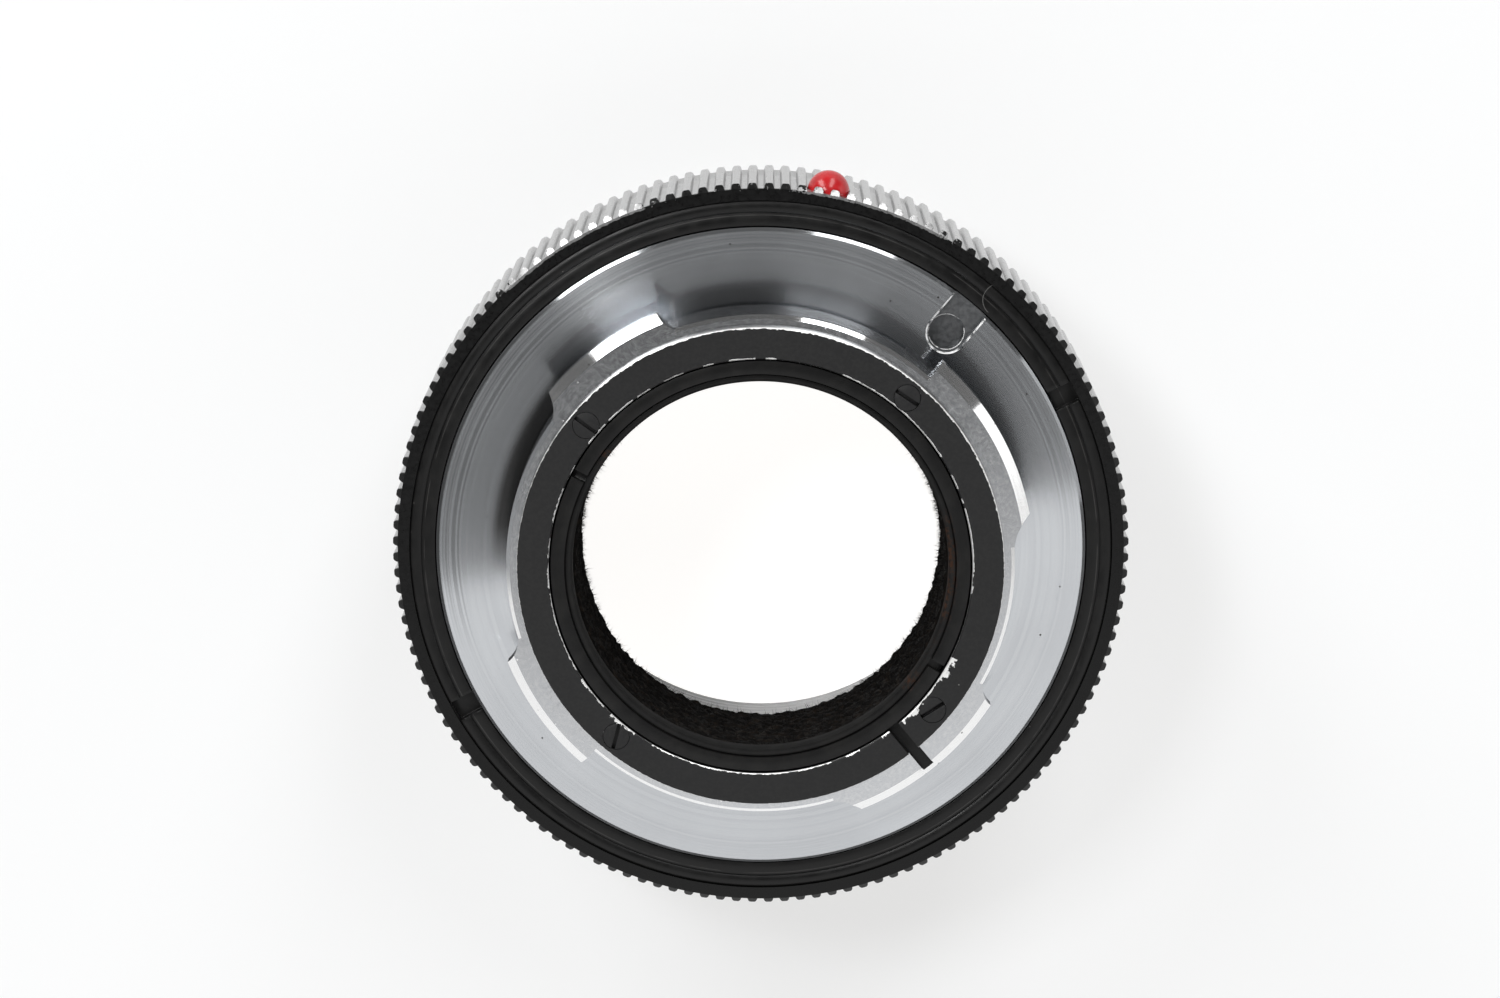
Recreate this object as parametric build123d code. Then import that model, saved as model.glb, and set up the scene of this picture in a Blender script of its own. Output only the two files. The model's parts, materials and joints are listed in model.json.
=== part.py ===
"""Lens mount adapter: screw-thread lens side below, four-lug bayonet camera side above.

Millimetres. The optical axis is +Z, the lens-side end face lies at Z = 0 and the bayonet points up.
Radii grow outwards from the clear bore, and heights grow upwards from the lens-side end face.
"""
from build123d import *
from math import cos, radians, sin
import os

# Light path and its lining, from the axis outwards
clear_bore_radius = 15.1
lip_overhang = 0.4
flock_thickness = 0.4
glue_gap = 0.02
tube_wall = 0.48
slip_gap = 0.1
tube_collar_width = 0.4
thread_gap = 0.06

# Bayonet, outwards from the bore of its rim
rim_width = 2.54
land_width = 0.9
lug_reach = 1.55
flange_width = 4.55
rim_rise = 0.77
lug_face_rise = 6.2
lug_thickness = 2.1
lug_bevel = 0.8
neck_bevel = 0.3
neck_relief_height = 0.8
neck_relief_depth = 0.3
neck_relief_width = 0.15
neck_relief_drop = 0.12
flange_thickness = 2.5
flange_edge_bevel = 0.25
rim_edge_bevel = 0.08

# Four lugs: where the full lug starts and ends, and the run of the milled ramp at each end, in degrees
lugs = [
    (11.0, 48.7, 6.5, 0.0),
    (112.0, 140.3, 2.4, 4.0),
    (201.6, 228.6, 4.5, 0.0),
    (292.0, 328.0, 5.0, 3.5),
]
ramp_hollow = 0.3

# Index groove across the rim and one lug, and the lock slot in the flange
index_groove_angle = 309.4
index_groove_width = 1.0
index_groove_depth = 0.35
lock_slot_angle = 50.1
lock_slot_width = 3.15
lock_slot_depth = 0.7
lock_slot_inset = 3.1
lock_hole_radius = 1.42
lock_hole_depth = 0.9

# Slotted screws in the rim
screw_angles = [50.0, 140.0, 230.0, 320.0]
screw_slot_turns = [78.0, 8.0, -12.0, 118.0]
screw_head_radius = 1.05
screw_head_height = 1.2
screw_head_gap = 0.04
screw_shank_radius = 0.8
screw_shank_gap = 0.08
screw_thread_gap = 0.04
screw_grip_length = 4.5
screw_hole_spare = 0.6
screw_slot_width = 0.3
screw_slot_depth = 0.45
screw_inset = 1.14

# Ring that holds the baffle tube
collar_height = 0.8
baffle_ring_height = 1.9
baffle_ring_gap = 0.16
baffle_ring_drop = 0.27
baffle_lip_width = 0.5
baffle_lip_drop = 0.3
baffle_groove_width = 0.12
baffle_groove_depth = 0.35
baffle_notch_angles = [152.6, 330.2]
baffle_notch_width = 0.65
baffle_notch_depth = 0.7
tube_reach_below_flange = 6.4

# Body, upwards from the lens-side end face
collar_length = 7.0
shoulder_cone_height = 1.7
shoulder_height = 2.0
barrel_length = 10.4
collar_edge_bevel = 0.5
shoulder_edge_bevel = 0.3
collar_inset = 1.6
shoulder_reach = 1.4
barrel_margin = 0.5
body_web_height = 7.1
web_bevel = 0.8

# Female lens thread, 39 mm by 26 threads to the inch, bored at its crest
lens_thread_radius = 18.87
lens_thread_length = 6.0
lens_mouth_bevel = 0.2
relief_depth = 0.8

# Ring that holds the grip, with a flat inner band, a groove and a bevelled outer band
flange_gap = 0.12
retainer_band_width = 0.88
retainer_groove_width = 0.22
retainer_groove_depth = 0.35
retainer_bead_width = 0.9
retainer_drop = 0.35
retainer_bead_rise = 0.22
retainer_bead_slope = 0.24
retainer_skirt = 2.2
retainer_lip_gap = 0.05
retainer_notch_angles = [27.4, 208.6]
retainer_notch_width = 1.7
retainer_notch_depth = 0.8

# Knurled grip
grip_rim_gap = 0.08
grip_face_width = 0.95
grip_drop = 0.15
ridge_count = 140
ridge_height = 0.42
ridge_foot_share = 0.64
ridge_tip_share = 0.36
grip_near_bevel = 0.45
grip_far_bevel = 0.3

# Index bead and key pin
bead_angle = 79.4
bead_radius = 1.72
bead_inset = 2.25
bead_sink = 0.6
bead_gap = 0.03
key_angle = 270.0
key_radius = 0.8
key_depth = 1.8
key_reach = 0.7
key_gap = 0.04
key_height = 3.6

# How far a cutting tool runs past the faces that it opens
cut_margin = 1.0

# Radii that follow
flock_radius = clear_bore_radius + lip_overhang
tube_inner_radius = flock_radius + flock_thickness + glue_gap
tube_outer_radius = tube_inner_radius + tube_wall
tube_seat_radius = tube_outer_radius + slip_gap
tube_collar_radius = tube_seat_radius + tube_collar_width
rim_bore_radius = tube_collar_radius + thread_gap
rim_radius = rim_bore_radius + rim_width
neck_radius = rim_radius + land_width
lug_radius = neck_radius + lug_reach
flange_radius = lug_radius + flange_width
screw_circle_radius = rim_bore_radius + screw_inset
retainer_bore_radius = flange_radius + flange_gap
retainer_radius = retainer_bore_radius + retainer_band_width + retainer_groove_width + retainer_bead_width
barrel_radius = flange_radius + barrel_margin
collar_radius = barrel_radius - collar_inset
shoulder_radius = barrel_radius + shoulder_reach
grip_recess_radius = retainer_radius + grip_rim_gap
ridge_foot_radius = grip_recess_radius + grip_face_width
grip_radius = ridge_foot_radius + ridge_height

# Heights that follow
grip_seat_z = collar_length + shoulder_cone_height + shoulder_height
body_top_z = grip_seat_z + barrel_length
flange_z = body_top_z + flange_thickness
lug_face_z = flange_z + lug_face_rise
rim_z = lug_face_z + rim_rise
baffle_ring_top_z = rim_z - baffle_ring_drop
baffle_ring_z = baffle_ring_top_z - baffle_ring_height
tube_ledge_z = baffle_ring_z - collar_height
tube_end_z = flange_z - tube_reach_below_flange
grip_top_z = flange_z - grip_drop
retainer_top_z = flange_z - retainer_drop
grip_recess_z = body_top_z - retainer_skirt
screw_seat_z = rim_z - screw_head_height
screw_tip_z = body_top_z - screw_grip_length
key_z = grip_seat_z + key_height
bead_z = grip_top_z - bead_inset


def turned(points):
    """A solid of revolution about the axis from a closed (radius, height) outline."""
    return revolve(make_face(Plane.XZ * Polyline(*points, close=True)), Axis.Z)


def ring(inner, outer, low, high):
    """A plain ring between two radii and two heights."""
    return turned([(inner, low), (outer, low), (outer, high), (inner, high)])


def polar(radius, angle):
    """A point on the plane of the ring."""
    return (radius * cos(radians(angle)), radius * sin(radians(angle)))


def upright(radius, low, high, at_radius, angle):
    """A cylinder along Z at a polar place."""
    x, y = polar(at_radius, angle)
    return Pos(x, y, (low + high) / 2) * Cylinder(radius, high - low)


def radial_block(inner, outer, width, low, high, angle):
    """A block that lies along a radius between two radii and two heights."""
    block = Box(outer - inner, width, high - low)
    return Rot(0, 0, angle) * Pos((inner + outer) / 2, 0, (low + high) / 2) * block


def radial_cylinder(radius, inner, outer, height, angle):
    """A cylinder that lies along a radius at a height."""
    rod = Rot(0, 90, 0) * Cylinder(radius, outer - inner)
    return Rot(0, 0, angle) * Pos((inner + outer) / 2, 0, height) * rod


def ramp(foot, tip, hollow):
    """The milled end of a lug: a hollow arc, or a straight radial cut where there is no ramp."""
    (x0, y0), (x1, y1) = foot, tip
    pull = 1 - hollow
    middle = ((x0 + x1) / 2 * pull + x0 * hollow, (y0 + y1) / 2 * pull + y0 * hollow)
    inward = neck_radius / (middle[0] ** 2 + middle[1] ** 2) ** 0.5
    touch = (middle[0] * (1 + inward) / 2, middle[1] * (1 + inward) / 2)
    return ThreePointArc(foot, touch, tip)


def lug_outline(start, end, start_ramp, end_ramp):
    """Plan of one lug, rooted in the neck, with a ramp or a straight cut at each end."""
    root = rim_radius
    middle = (start + end) / 2
    edges = [ThreePointArc(polar(lug_radius, start), polar(lug_radius, middle), polar(lug_radius, end))]
    foot = polar(neck_radius, end + end_ramp)
    tip = polar(lug_radius, end)
    edges.append(ramp(foot, tip, ramp_hollow) if end_ramp else Line(tip, foot))
    root_end = polar(root, end + end_ramp)
    root_start = polar(root, start - start_ramp)
    edges.append(Line(foot, root_end))
    edges.append(ThreePointArc(root_end, polar(root, middle), root_start))
    foot = polar(neck_radius, start - start_ramp)
    tip = polar(lug_radius, start)
    edges.append(Line(root_start, foot))
    edges.append(ramp(foot, tip, ramp_hollow) if start_ramp else Line(foot, tip))
    return make_face(Wire(edges))


def bayonet_mount():
    """Flange, neck and rim as one turning, with four milled lugs, index groove, lock slot and screw holes."""
    relief_radius = neck_radius - neck_relief_depth
    mount = turned([
        (tube_seat_radius, body_top_z),
        (flange_radius, body_top_z),
        (flange_radius, flange_z - flange_edge_bevel),
        (flange_radius - flange_edge_bevel, flange_z),
        (neck_radius + neck_relief_width, flange_z),
        (neck_radius + neck_relief_width, flange_z - neck_relief_drop),
        (relief_radius, flange_z - neck_relief_drop),
        (relief_radius, flange_z + neck_relief_height),
        (neck_radius, flange_z + neck_relief_height),
        (neck_radius, lug_face_z - neck_bevel),
        (neck_radius - neck_bevel, lug_face_z),
        (rim_radius, lug_face_z),
        (rim_radius, rim_z - rim_edge_bevel),
        (rim_radius - rim_edge_bevel, rim_z),
        (rim_bore_radius + rim_edge_bevel, rim_z),
        (rim_bore_radius, rim_z - rim_edge_bevel),
        (rim_bore_radius, tube_ledge_z),
        (tube_seat_radius, tube_ledge_z),
    ])
    lug_low_z = lug_face_z - lug_thickness
    lug_envelope = turned([
        (0, lug_low_z),
        (lug_radius, lug_low_z),
        (lug_radius, lug_face_z - lug_bevel),
        (lug_radius - lug_bevel, lug_face_z),
        (0, lug_face_z),
    ])
    for lug in lugs:
        blank = Pos(0, 0, lug_low_z) * extrude(lug_outline(*lug), lug_thickness)
        mount += blank & lug_envelope
    groove_z = lug_face_z - index_groove_depth
    mount -= radial_block(
        clear_bore_radius, flange_radius, index_groove_width, groove_z, rim_z + cut_margin, index_groove_angle
    )
    slot_z = flange_z - lock_slot_depth
    slot_radius = flange_radius - lock_slot_inset
    slot_end = 2 * flange_radius - slot_radius
    cut_z = flange_z + cut_margin
    mount -= radial_block(slot_radius, slot_end, lock_slot_width, slot_z, cut_z, lock_slot_angle)
    mount -= upright(lock_slot_width / 2, slot_z, cut_z, slot_radius, lock_slot_angle)
    mount -= upright(lock_hole_radius, slot_z - lock_hole_depth, cut_z, slot_radius, lock_slot_angle)
    for angle in screw_angles:
        mount -= upright(
            screw_head_radius + screw_head_gap, screw_seat_z, rim_z + cut_margin, screw_circle_radius, angle
        )
        mount -= upright(
            screw_shank_radius + screw_shank_gap, body_top_z - cut_margin, screw_seat_z + cut_margin,
            screw_circle_radius, angle,
        )
    return mount


def bayonet_screws():
    """Four slotted cheese-head screws, their heads flush with the rim."""
    screws = []
    for angle, slot_turn in zip(screw_angles, screw_slot_turns):
        head = upright(screw_head_radius, screw_seat_z, rim_z, screw_circle_radius, angle)
        shank = upright(screw_shank_radius, screw_tip_z, screw_seat_z, screw_circle_radius, angle)
        slot_length = 2 * (screw_head_radius + screw_head_gap)
        slot = Box(slot_length, screw_slot_width, 2 * screw_slot_depth)
        x, y = polar(screw_circle_radius, angle)
        screws.append(head + shank - Pos(x, y, rim_z) * Rot(0, 0, angle + slot_turn) * slot)
    return screws


def adapter_body():
    """Turned barrel: lens thread and end face below, grip seat outside, tube seat and screw holes above."""
    web_z = body_top_z - body_web_height
    cavity_radius = lens_thread_radius + relief_depth
    cone_z = collar_length + shoulder_cone_height
    body = turned([
        (lens_thread_radius + lens_mouth_bevel, 0),
        (collar_radius - collar_edge_bevel, 0),
        (collar_radius, collar_edge_bevel),
        (collar_radius, collar_length),
        (shoulder_radius - shoulder_edge_bevel, cone_z),
        (shoulder_radius, cone_z + shoulder_edge_bevel),
        (shoulder_radius, grip_seat_z),
        (barrel_radius, grip_seat_z),
        (barrel_radius, body_top_z),
        (tube_seat_radius, body_top_z),
        (tube_seat_radius, web_z + web_bevel),
        (tube_seat_radius + web_bevel, web_z),
        (cavity_radius, web_z),
        (cavity_radius, lens_thread_length),
        (lens_thread_radius, lens_thread_length),
        (lens_thread_radius, lens_mouth_bevel),
    ])
    for angle in screw_angles:
        body -= upright(
            screw_shank_radius + screw_thread_gap, screw_tip_z - screw_hole_spare, body_top_z + cut_margin,
            screw_circle_radius, angle,
        )
    key_floor = barrel_radius - key_depth
    body -= radial_cylinder(key_radius + key_gap, key_floor, shoulder_radius, key_z, key_angle)
    return body


def grip_retaining_ring():
    """Spanner ring: threaded skirt round the barrel, flat inner band, groove and bevelled outer band on top."""
    skirt_bore = barrel_radius + thread_gap
    lip_z = body_top_z + retainer_lip_gap
    band_radius = retainer_bore_radius + retainer_band_width
    bead_foot = band_radius + retainer_groove_width
    groove_z = retainer_top_z - retainer_groove_depth
    crest_z = retainer_top_z + retainer_bead_rise
    retainer = turned([
        (bead_foot, groove_z),
        (band_radius, retainer_top_z),
        (retainer_bore_radius, retainer_top_z),
        (retainer_bore_radius, lip_z),
        (skirt_bore, lip_z),
        (skirt_bore, grip_recess_z),
        (retainer_radius, grip_recess_z),
        (retainer_radius, retainer_top_z),
        (retainer_radius - retainer_bead_slope, crest_z),
        (bead_foot + retainer_bead_slope, crest_z),
        (bead_foot, retainer_top_z),
    ])
    for angle in retainer_notch_angles:
        retainer -= radial_block(
            retainer_bore_radius - flange_gap, grip_recess_radius, retainer_notch_width,
            retainer_top_z - retainer_notch_depth, flange_z + cut_margin, angle,
        )
    return retainer


def knurl_outline():
    """Cross-section of the straight knurl: ridges with sloping sides and flat tips, flat valleys between."""
    pitch = 360 / ridge_count
    points = []
    for ridge in range(ridge_count):
        centre = 90 + (ridge + 0.5) * pitch
        for radius, share in (
            (ridge_foot_radius, -ridge_foot_share),
            (grip_radius, -ridge_tip_share),
            (grip_radius, ridge_tip_share),
            (ridge_foot_radius, ridge_foot_share),
        ):
            points.append(polar(radius, centre + share * pitch / 2))
    return make_face(Polyline(*points, close=True))


def grip_ring():
    """Knurled ring on the barrel, recessed for its retaining ring, with a bead seat and a keyway."""
    bore_radius = barrel_radius + slip_gap
    envelope = turned([
        (bore_radius, grip_seat_z),
        (grip_radius - grip_far_bevel, grip_seat_z),
        (grip_radius, grip_seat_z + grip_far_bevel),
        (grip_radius, grip_top_z - grip_near_bevel),
        (grip_radius - grip_near_bevel, grip_top_z),
        (grip_recess_radius, grip_top_z),
        (grip_recess_radius, grip_recess_z),
        (bore_radius, grip_recess_z),
    ])
    blank = Pos(0, 0, grip_seat_z) * extrude(knurl_outline(), grip_top_z - grip_seat_z)
    grip = blank & envelope
    seat_floor = ridge_foot_radius - bead_sink
    grip -= radial_cylinder(bead_radius + bead_gap, seat_floor, grip_radius + bead_radius, bead_z, bead_angle)
    keyway_radius = barrel_radius + key_reach + slip_gap
    grip -= radial_block(
        clear_bore_radius, keyway_radius, 2 * (key_radius + key_gap), key_z - key_radius - key_gap,
        grip_recess_z + cut_margin, key_angle,
    )
    return grip


def index_bead():
    """Round bead with a flat foot, pressed into its seat in the knurl."""
    seat_floor = ridge_foot_radius - bead_sink
    ball = Rot(0, 0, bead_angle) * Pos(ridge_foot_radius, 0, bead_z) * Sphere(bead_radius)
    above_floor = radial_cylinder(2 * bead_radius, seat_floor, 2 * grip_radius, bead_z, bead_angle)
    return ball & above_floor


def grip_key_pin():
    """Pin pressed into the barrel that stands in the grip's keyway."""
    return radial_cylinder(key_radius, barrel_radius - key_depth, barrel_radius + key_reach, key_z, key_angle)


def baffle_tube():
    """Thin tube through mount and body, hung by a collar on the mount's ledge."""
    return turned([
        (tube_inner_radius, tube_end_z),
        (tube_outer_radius, tube_end_z),
        (tube_outer_radius, tube_ledge_z),
        (tube_collar_radius, tube_ledge_z),
        (tube_collar_radius, baffle_ring_z),
        (tube_inner_radius, baffle_ring_z),
    ])


def flock_lining():
    """Velvet strip glued round the inside of the tube."""
    return ring(flock_radius, flock_radius + flock_thickness, tube_end_z, baffle_ring_z)


def baffle_retaining_ring():
    """Spanner ring in the rim: raised outer band, a fine groove and a lower inner lip."""
    outer = rim_bore_radius - baffle_ring_gap
    lip_radius = clear_bore_radius + baffle_lip_width
    band_radius = lip_radius + baffle_groove_width
    lip_z = baffle_ring_top_z - baffle_lip_drop
    retainer = turned([
        (clear_bore_radius, baffle_ring_z),
        (outer, baffle_ring_z),
        (outer, baffle_ring_top_z),
        (band_radius, baffle_ring_top_z),
        (band_radius, lip_z - baffle_groove_depth),
        (lip_radius, lip_z - baffle_groove_depth),
        (lip_radius, lip_z),
        (clear_bore_radius, lip_z),
    ])
    for angle in baffle_notch_angles:
        retainer -= radial_block(
            lip_radius, rim_bore_radius, baffle_notch_width,
            baffle_ring_top_z - baffle_notch_depth, rim_z, angle,
        )
    return retainer


nodes = {
    "adapter_body": adapter_body(),
    "bayonet_mount": bayonet_mount(),
    "bayonet_screws": Compound(children=bayonet_screws()),
    "grip_ring": grip_ring(),
    "grip_retaining_ring": grip_retaining_ring(),
    "grip_key_pin": grip_key_pin(),
    "index_bead": index_bead(),
    "baffle_tube": baffle_tube(),
    "flock_lining": flock_lining(),
    "baffle_retaining_ring": baffle_retaining_ring(),
}

os.makedirs("parts", exist_ok=True)
for name, solid in nodes.items():
    export_step(solid, f"parts/{name}.step")
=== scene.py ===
import bpy
import json
import random
from math import atan2, cos, degrees, hypot, pi, radians, sin
from mathutils import Matrix, Vector


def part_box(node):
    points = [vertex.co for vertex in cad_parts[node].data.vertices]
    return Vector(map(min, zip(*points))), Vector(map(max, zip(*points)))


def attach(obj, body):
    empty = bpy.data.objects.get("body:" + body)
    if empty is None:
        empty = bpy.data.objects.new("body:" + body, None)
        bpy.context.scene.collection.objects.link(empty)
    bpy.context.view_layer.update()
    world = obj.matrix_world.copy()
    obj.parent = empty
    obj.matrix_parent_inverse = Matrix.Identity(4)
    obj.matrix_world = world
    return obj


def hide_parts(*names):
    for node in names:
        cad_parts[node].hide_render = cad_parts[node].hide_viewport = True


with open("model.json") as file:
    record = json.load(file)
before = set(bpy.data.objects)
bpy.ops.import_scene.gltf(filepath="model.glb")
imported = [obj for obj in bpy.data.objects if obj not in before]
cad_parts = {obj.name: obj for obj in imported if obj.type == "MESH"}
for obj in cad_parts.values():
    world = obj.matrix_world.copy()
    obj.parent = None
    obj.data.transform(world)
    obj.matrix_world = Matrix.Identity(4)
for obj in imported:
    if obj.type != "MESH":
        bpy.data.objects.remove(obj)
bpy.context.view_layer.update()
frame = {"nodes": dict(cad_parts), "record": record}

# Adapter body: the barrel that everything else screws to, with the lens thread in its foot.
# Light alloy, turned in one setting and satin finished, its end face the seat for the lens.
# It stands on that face; the grip ring, the bayonet and the baffle tube drop on from above.
MM = 0.001
WELD = 2e-7
TURN_STEPS = 288
FINE_EDGE = 0.04
CREASE = radians(28)

mounts = {mount["name"]: mount for mount in frame["record"]["mounts"]}
flange_z = mounts["camera_flange"]["pos_m"][2] / MM
thread_radius = mounts["lens_thread"]["dims"]["r_mm"]


def top_of(node):
    """Height of a node's highest point, in millimetres."""
    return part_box(node)[1].z / MM


def foot_of(node):
    """Height of a node's lowest point, in millimetres."""
    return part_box(node)[0].z / MM


def reach_of(node):
    """Largest radius of a round node, in millimetres."""
    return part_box(node)[1].x / MM


def polar(radius, angle, height=0.0):
    """A place by radius, angle in degrees and height, in millimetres."""
    return Vector((radius * cos(radians(angle)), radius * sin(radians(angle)), height))


def edit_mode():
    bpy.ops.object.mode_set(mode="EDIT")


def object_mode():
    bpy.ops.object.mode_set(mode="OBJECT")


def pick_all():
    bpy.ops.mesh.select_all(action="SELECT")


def seed(name, place):
    """A new piece that is one point at a place in metres; left in edit mode."""
    bpy.ops.object.select_all(action="DESELECT")
    bpy.ops.mesh.primitive_plane_add(size=MM)
    piece = bpy.context.object
    piece.name = name
    edit_mode()
    bpy.ops.mesh.merge(type="CENTER")
    bpy.ops.transform.translate(value=place)
    return piece


def pull(step):
    """Extrudes what is selected by a step in metres."""
    bpy.ops.mesh.extrude_region_move(TRANSFORM_OT_translate={"value": step})


def drawn(name, points):
    """A closed line through points in millimetres, drawn by extruding one vertex; left in edit mode."""
    points = [Vector(point) * MM for point in points]
    piece = seed(name, points[0])
    for start, end in zip(points, points[1:] + points[:1]):
        pull(end - start)
    pick_all()
    bpy.ops.mesh.remove_doubles(threshold=WELD)
    return piece


def welded():
    """Merges seams and turns all faces outwards, from edit mode back to object mode."""
    pick_all()
    bpy.ops.mesh.remove_doubles(threshold=WELD)
    bpy.ops.mesh.normals_make_consistent(inside=False)
    object_mode()


def turned(name, outline, steps=TURN_STEPS):
    """A closed outline of (radius, height) points turned about the optical axis."""
    piece = drawn(name, [(radius, 0, height) for radius, height in outline])
    bpy.ops.mesh.spin(steps=steps, angle=2 * pi, center=(0, 0, 0), axis=(0, 0, 1))
    welded()
    return piece


def only(piece):
    """Makes one piece the selected and active one."""
    bpy.ops.object.select_all(action="DESELECT")
    piece.select_set(True)
    bpy.context.view_layer.objects.active = piece


def combine(piece, tool, operation="DIFFERENCE"):
    """Cuts a tool out of a piece, joins it on or keeps what they share, and removes the tool."""
    only(piece)
    boolean = piece.modifiers.new("cut", "BOOLEAN")
    boolean.operation = operation
    boolean.solver = "EXACT"
    boolean.object = tool
    bpy.ops.object.modifier_apply(modifier=boolean.name)
    bpy.data.objects.remove(tool, do_unlink=True)


def soften(piece, width=FINE_EDGE, segments=2):
    """Breaks the sharp edges by a fine round and shades the rest smooth."""
    only(piece)
    edge = piece.modifiers.new("edge", "BEVEL")
    edge.width = width * MM
    edge.segments = segments
    edge.limit_method = "ANGLE"
    edge.angle_limit = CREASE
    bpy.ops.object.modifier_apply(modifier=edge.name)
    bpy.ops.object.shade_smooth_by_angle(angle=CREASE)


def placed(piece, node):
    """Puts a finished piece in a node's place."""
    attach(piece, "root")
    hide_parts(node)


def dress(piece, *materials):
    """Gives a piece its finishes, in place of any that it has."""
    piece.data.materials.clear()
    for material in materials:
        piece.data.materials.append(material)


def grey(level):
    """A neutral colour."""
    return (level, level, level, 1)


class Finish:
    """One material: its shader, its coordinates in millimetres, and short ways to add texture nodes."""

    def __init__(self, name, **sockets):
        self.material = bpy.data.materials.new(name)
        self.material.use_nodes = True
        self.nodes = self.material.node_tree.nodes
        self.links = self.material.node_tree.links
        self.shader = self.nodes["Principled BSDF"]
        self.paint(**sockets)
        coordinates = self.nodes.new("ShaderNodeTexCoord")
        self.place = self.vector("SCALE", coordinates.outputs["Object"], scale=1 / MM)
        self.flat = self.vector("MULTIPLY", self.place, (1, 1, 0))
        self.radius = self.vector("LENGTH", self.flat, output="Value")
        parts = self.nodes.new("ShaderNodeSeparateXYZ")
        self.links.new(self.place, parts.inputs[0])
        self.height = parts.outputs["Z"]
        turn = self.math("ARCTAN2", parts.outputs["Y"], parts.outputs["X"])
        self.angle = self.math("FLOORED_MODULO", self.times(turn, 180 / pi), 360)

    def feed(self, value, socket):
        """Links a socket, or sets a plain value."""
        if isinstance(value, bpy.types.NodeSocket):
            self.links.new(value, socket)
        else:
            socket.default_value = value

    def paint(self, **sockets):
        """Links or sets sockets of the shader by name, and gives back the material."""
        for socket, value in sockets.items():
            self.feed(value, self.shader.inputs[socket.replace("_", " ")])
        return self.material

    def node(self, kind, output, settings=None, **sockets):
        """Adds a node with its settings and inputs, and gives back one output."""
        node = self.nodes.new("ShaderNode" + kind)
        for setting, value in (settings or {}).items():
            setattr(node, setting, value)
        for socket, value in sockets.items():
            if value is not None:
                self.feed(value, node.inputs[socket.replace("_", " ")])
        return node.outputs[output]

    def math(self, operation, first, second=None, third=None, clamp=False):
        node = self.nodes.new("ShaderNodeMath")
        node.operation = operation
        node.use_clamp = clamp
        for value, socket in zip((first, second, third), node.inputs):
            if value is not None:
                self.feed(value, socket)
        return node.outputs[0]

    def vector(self, operation, first, second=None, scale=None, output="Vector"):
        node = self.nodes.new("ShaderNodeVectorMath")
        node.operation = operation
        self.feed(first, node.inputs[0])
        if second is not None:
            self.feed(second, node.inputs[1])
        if scale is not None:
            node.inputs["Scale"].default_value = scale
        return node.outputs[output]

    def times(self, first, second):
        return self.math("MULTIPLY", first, second)

    def opposite(self, mask):
        return self.math("SUBTRACT", 1.0, mask)

    def lifted(self, base, mask, amount):
        """Adds an amount to a base value where a mask is 1."""
        return self.math("MULTIPLY_ADD", mask, amount, base)

    def noise(self, scale, detail=3.0, roughness=0.5):
        return self.node("TexNoise", "Fac", Vector=self.place,
                         Scale=scale, Detail=detail, Roughness=roughness)

    def rings(self, value, scale, detail=2.0):
        """Noise along one value only, such as the radius: tool marks of a lathe."""
        return self.node("TexNoise", "Fac", {"noise_dimensions": "1D"}, W=value, Scale=scale, Detail=detail)

    def dots(self, scale):
        """Distance to scattered points, for specks and pits."""
        return self.node("TexVoronoi", "Distance", Vector=self.place, Scale=scale)

    def band(self, value, low, high, start=0.0, end=1.0):
        """Runs from start to end while the value goes from low to high."""
        smooth = {"interpolation_type": "SMOOTHSTEP"}
        return self.node("MapRange", "Result", smooth, Value=value,
                         From_Min=low, From_Max=high, To_Min=start, To_Max=end)

    def fade(self, value, low, high):
        """Runs from 1 to 0 while the value goes from low to high."""
        return self.band(value, low, high, 1.0, 0.0)

    def line_at(self, value, middle, core, rim):
        """A line where the value is at a middle: full to its core, gone at its rim."""
        return self.fade(self.math("ABSOLUTE", self.math("SUBTRACT", value, middle)), core, rim)

    def specks(self, scale, core, rim, patch):
        """Scattered specks, each full to its core and gone at its rim, kept only in patches."""
        return self.times(self.fade(self.dots(scale), core, rim), patch)

    def along_turn(self, stops, stepped=False):
        """A value drawn against the angle, from (angle, value) stops."""
        node = self.nodes.new("ShaderNodeValToRGB")
        self.feed(self.math("DIVIDE", self.angle, 360), node.inputs["Fac"])
        ramp = node.color_ramp
        ramp.interpolation = "CONSTANT" if stepped else "LINEAR"
        for index, (angle, value) in enumerate(stops):
            stop = ramp.elements[index] if index < 2 else ramp.elements.new(angle / 360)
            stop.position = angle / 360
            stop.color = grey(value)
        return node.outputs["Color"]

    def blend(self, factor, first, second):
        """Mixes two colours."""
        node = self.nodes.new("ShaderNodeMix")
        node.data_type = "RGBA"
        self.feed(factor, node.inputs[0])
        self.feed(first, node.inputs[6])
        self.feed(second, node.inputs[7])
        return node.outputs[2]

    def bump(self, height, depth, under=None):
        """Raises the surface by a height map, depth in millimetres, over another bump if given."""
        return self.node("Bump", "Normal", Distance=depth * MM, Height=height, Normal=under)


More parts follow.
